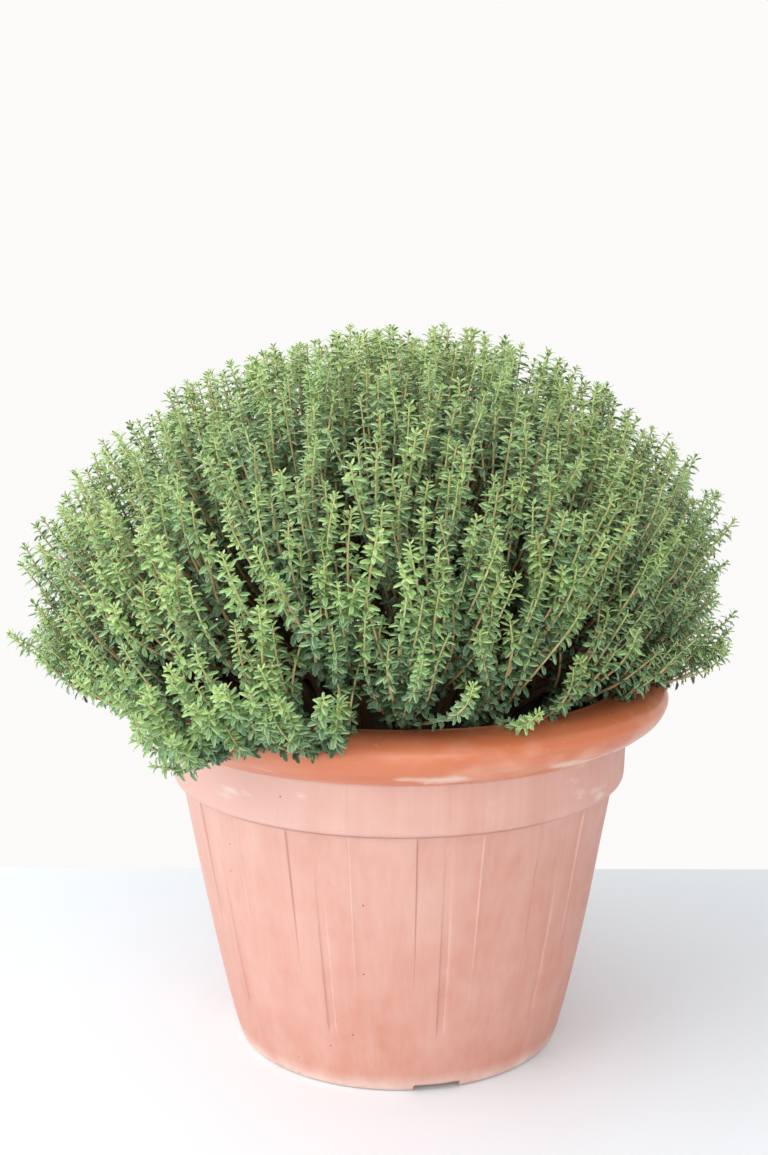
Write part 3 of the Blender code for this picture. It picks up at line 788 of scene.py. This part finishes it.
def makePotMaterial(look):
    material, tree, shader = newMaterial("fadedTerracottaPlastic", look["roughness"])
    place = addNode(tree, "ShaderNodeTexCoord").outputs["Object"]
    spot = splitNode(tree, place)
    height = spot["Z"]
    collar = rangeNode(tree, height, *look["collarHeights"])
    cloud, fine = noiseNode(tree, place, 14.0, 4.0), noiseNode(tree, place, 120.0)
    mottle = noiseNode(tree, place, 55.0, 4.0, 0.6)
    run = placeGroup(tree, streaks, Vector=place, Scale=90.0, Stretch=0.06)
    brushed = placeGroup(tree, streaks, Vector=place, Scale=420.0, Stretch=0.03)
    # the plastic is faded in clouds, and painted paler towards the left as painted light from that side
    paintedLeftLight = rangeNode(tree, spot["X"], *look["litSidePlaces"], curve="LINEAR")
    # the fading below sums real fading in clouds and painted light on the left
    fade = mathNode(tree, "ADD", product(tree, paintedLeftLight, look["litSideShare"]),
                    product(tree, cloud, look["cloudShare"]), clamp=True)
    fadedAndLit = product(tree, fade, look["fadeAndLightShare"])
    collarColour = mixColour(tree, fadedAndLit, look["collar"], look["collarFadedAndLit"])
    # the body is paler higher up, most of all at the neck, and chalky in streaks and mottles; on the left it
    # and its neck band are painted paler as painted light
    upper = rangeNode(tree, height, *look["upperPaleHeights"], look["upperPaleRise"], curve="LINEAR")
    chalkAndLitSide = product(tree, mathNode(tree, "ADD", fade, upper), look["fadeAndLightShare"])
    neck = rangeNode(tree, height, *look["neckHeights"], look["neckRise"])
    # the neck band is painted paler on the left as painted light
    neckPaleAndLit = product(tree, neck, mathNode(tree, "ADD", paintedLeftLight, look["neckBase"]))
    chalkAndLitSide = mathNode(tree, "ADD", chalkAndLitSide, neckPaleAndLit)
    for mask, weight in ((run, 0.5), (brushed, 0.3), (mottle, 0.5)):
        chalkAndLitSide = mathNode(tree, "ADD", chalkAndLitSide, product(tree, mathNode(tree, "SUBTRACT", mask, 0.5), weight))
    chalkAndLitSide = mathNode(tree, "MAXIMUM", mathNode(tree, "MINIMUM", chalkAndLitSide, 1.0), 0.0)
    bodyColour = mixColour(tree, chalkAndLitSide, look["body"], look["bodyPale"])
    # place within one flute, in degrees, from the angle round the axis; it starts a little
    # before the flute does, so that the line at the flute's left edge is whole
    early = 6.0
    turn = mathNode(tree, "ARCTAN2", spot["X"], product(tree, spot["Y"], -1.0))
    turn = mathNode(tree, "MULTIPLY_ADD", turn, 180 / math.pi, 360.0 + early - potShape["fluteStart"])
    within = mathNode(tree, "SUBTRACT", mathNode(tree, "MODULO", turn, 360 / potShape["fluteCount"]), early)

    def lineAt(angle, width, low, high):  # a soft upright line at that angle, between two heights
        away = mathNode(tree, "ABSOLUTE", mathNode(tree, "SUBTRACT", within, angle))
        return product(tree, rangeNode(tree, away, width, 0.0), rangeNode(tree, height, low, high))

    # edges and groove walls that face the light get pale lines of painted highlight and those that face away
    # get dark lines of painted shade, in patches
    onFlutes = product(tree, mathNode(tree, "LESS_THAN", height, look["fluteTop"]),
                       rangeNode(tree, height, *look["fluteFoot"]), mottle)
    right, groove = potShape["fluteWidth"] + 0.1, potShape["grooveAngle"] + potShape["grooveDrift"] / 2
    for tone, share, first, second in (
            (look["scuff"], look["litEdgeShare"], (right, 0.32, 0.055, 0.11), (groove + 1.15, 0.35, 0.13, 0.07)),
            (look["shadeLine"], look["shadedEdgeShare"], (0.15, 0.28, 0.05, 0.11), (groove - 1.1, 0.3, 0.14, 0.06))):
        lines = mathNode(tree, "ADD", lineAt(*first), lineAt(*second))
        bodyColour = mixColour(tree, product(tree, lines, share, onFlutes), bodyColour, tone)
    # painted shade: a dark line under the overhanging step
    away = mathNode(tree, "ABSOLUTE", mathNode(tree, "SUBTRACT", height, look["stepHeight"]))
    under = product(tree, rangeNode(tree, away, *look["stepReach"]), look["stepShare"])
    bodyColour = mixColour(tree, under, bodyColour, look["shadeLine"])
    broad = placeGroup(tree, streaks, Vector=place, Scale=17.0, Stretch=2.0)
    haze = rangeNode(tree, broad, 0.48, 0.68, look["hazeShare"])
    collarColour = mixColour(tree, haze, collarColour, look["haze"])
    colour = mixColour(tree, collar, bodyColour, collarColour)
    # pale scuffs on the neck band and a bloom at the foot
    patch = rangeNode(tree, placeGroup(tree, streaks, Vector=place, Scale=24.0, Stretch=3.2), 0.60, 0.74)
    end = product(tree, rangeNode(tree, height, *look["bandEnd"]), look["bandShare"])
    scuff = product(tree, patch, product(tree, rangeNode(tree, height, *look["bandStart"]), end))
    bloom = product(tree, mottle, look["bloomShare"], rangeNode(tree, height, *look["footHeights"]))
    colour = mixColour(tree, mathNode(tree, "MAXIMUM", scuff, bloom), colour, look["scuff"])
    dots = placeGroup(tree, specks, Vector=place, Scale=170.0, Size=0.09, Share=0.035)
    colour = mixColour(tree, product(tree, dots, look["speckShare"]), colour, look["speck"])
    tree.links.new(colour, shader.inputs["Base Color"])
    rough = mathNode(tree, "SUBTRACT", look["roughness"], product(tree, collar, look["collarGloss"]))
    uneven = product(tree, mathNode(tree, "SUBTRACT", fine, 0.5), look["roughScatter"])
    tree.links.new(mathNode(tree, "ADD", rough, uneven), shader.inputs["Roughness"])
    grain = mathNode(tree, "ADD", fine, product(tree, run, 0.6))
    addBump(tree, shader, grain, look["bumpStrength"], look["bumpDepth"])
    return material


pot = buildPiece("planter", [(*makePot(potShape), 0)], [makePotMaterial(potLook)])
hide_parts("pot")
print("pot made", len(pot.data.polygons))


# Soil: a closed ball with a lumpy top

soilShape = {
    "columns": 160, "rings": 70, "top": 0.181, "radius": 0.1195, "edgeDrop": 0.003, "wallDrop": 0.005,
    "tipReach": 0.0005, "lump": 0.0022,
    "wall": ((0.0005, 0.0074), (0.0885, 0.0074), (0.0924, 0.0121), (0.1049, 0.0820), (0.1166, 0.1480)),
}


def makeSoil(shape):
    radius = shape["radius"]
    wall = np.array([*shape["wall"], (radius, shape["top"] - shape["wallDrop"])])
    reach = np.linspace(radius - 0.001, shape["tipReach"], shape["rings"])
    top = np.stack([reach, shape["top"] - shape["edgeDrop"] * (reach / radius) ** 3], -1)
    line = np.concatenate([wall, top])
    turn = np.linspace(0, math.tau, shape["columns"], endpoint=False)
    size = (len(line), len(turn))
    points, faces = turnedShape(np.broadcast_to(line[:, :1], size), np.broadcast_to(line[:, 1:], size), turn)
    rough = 0.6 * ripple(points, 0.006, 11) + 0.4 * ripple(points, 0.0025, 12)
    isLoose = np.arange(len(line))[:, None] > len(wall)
    points[..., 2] -= np.abs(rough) * shape["lump"] * isLoose
    return points, faces, None


soilLook = {
    "tints": ((0.35, (0.008, 0.006, 0.004)), (0.6, (0.035, 0.022, 0.014)), (0.8, (0.085, 0.055, 0.034))),
    "fibre": (0.20, 0.14, 0.09), "fibreShare": 0.7, "roughness": 0.95,
    "bumpStrength": 0.7, "bumpDepth": 0.001,
}


def makeSoilMaterial(look):
    material, tree, shader = newMaterial("pottingSoil", look["roughness"])
    place = addNode(tree, "ShaderNodeTexCoord").outputs["Object"]
    grain = noiseNode(tree, place, 380.0, 6.0, 0.7)
    colour = rampNode(tree, grain, look["tints"])
    fibre = placeGroup(tree, specks, Vector=place, Scale=420.0, Size=0.16, Share=0.05)
    colour = mixColour(tree, product(tree, fibre, look["fibreShare"]), colour, look["fibre"])
    tree.links.new(colour, shader.inputs["Base Color"])
    addBump(tree, shader, grain, look["bumpStrength"], look["bumpDepth"])
    return material


soil = buildPiece("pottingSoil", [(*makeSoil(soilShape), 0)], [makeSoilMaterial(soilLook)])
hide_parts("potting_soil")
print("soil made")


# Floor, light and camera

studio = {
    "floorBack": 0.254, "floorFront": -3.0, "floorSide": 3.0, "floorColour": (0.85, 0.91, 0.96),
    "floorRoughness": 0.55, "sky": (0.97, 0.96, 0.95), "skySeen": 1.0, "skyLight": 0.90, "skySlope": 0.30,
    # place, aim, size and power of each lamp
    "lamps": {"key": ((-1.25, -0.95, 1.35), (0, 0, 0.25), 1.7, 17.0),
              "side": ((-1.5, -0.25, 0.55), (0, 0, 0.2), 1.0, 1.6),
              "fill": ((0.3, -1.7, 0.8), (0, 0, 0.25), 1.4, 8.0)},
    "lens": 50.0, "sensor": 36.0, "cameraPlace": (0.0, -0.8811, 0.4052),
    "cameraDown": 9.37, "cameraTurn": 0.53,
}


def makeFloor(settings):
    side, back, front = settings["floorSide"], settings["floorBack"], settings["floorFront"]
    mesh = bpy.data.meshes.new("floor")
    corners = [(-side, front, 0), (side, front, 0), (side, back, 0), (-side, back, 0)]
    mesh.from_pydata(corners, [], [(0, 1, 2, 3)])
    floor = bpy.data.objects.new("floor", mesh)
    bpy.context.scene.collection.objects.link(floor)
    material, tree, shader = newMaterial("paleTable", settings["floorRoughness"])
    shader.inputs["Base Color"].default_value = (*settings["floorColour"], 1.0)
    mesh.materials.append(material)


def makeLight(name, place, aim, size, power):
    data = bpy.data.lights.new(name, "AREA")
    data.shape, data.size, data.energy = "DISK", size, power
    light = bpy.data.objects.new(name, data)
    bpy.context.scene.collection.objects.link(light)
    light.location = place
    toward = np.array(aim) - np.array(place)
    flat = math.hypot(toward[0], toward[1])
    light.rotation_euler = (math.pi / 2 + math.atan2(toward[2], flat), 0.0, math.atan2(-toward[0], toward[1]))


def makeWorld(settings):  # a white room that is seen brighter than it lights, and lights more from the left
    world = bpy.data.worlds.new("studio")
    bpy.context.scene.world = world
    world.use_nodes = True
    tree = world.node_tree
    back = tree.nodes["Background"]
    back.inputs["Color"].default_value = (*settings["sky"], 1.0)
    seen = addNode(tree, "ShaderNodeLightPath").outputs["Is Camera Ray"]
    dim = mathNode(tree, "MULTIPLY", seen, settings["skySeen"] - settings["skyLight"])
    ray = splitNode(tree, addNode(tree, "ShaderNodeTexCoord").outputs["Generated"])
    shade = product(tree, ray["X"], -settings["skySlope"], mathNode(tree, "SUBTRACT", 1.0, seen))
    strength = mathNode(tree, "ADD", mathNode(tree, "ADD", dim, settings["skyLight"]), shade)
    tree.links.new(strength, back.inputs["Strength"])


makeFloor(studio)
makeWorld(studio)
for name, lamp in studio["lamps"].items():
    makeLight(name, *lamp)

camera = bpy.data.objects.new("camera", bpy.data.cameras.new("camera"))
bpy.context.scene.collection.objects.link(camera)
camera.data.lens, camera.data.sensor_width = studio["lens"], studio["sensor"]
camera.location = studio["cameraPlace"]
camera.rotation_euler = (math.radians(90 - studio["cameraDown"]), 0.0, math.radians(studio["cameraTurn"]))
bpy.context.scene.camera = camera
bpy.context.scene.view_settings.view_transform = "Standard"
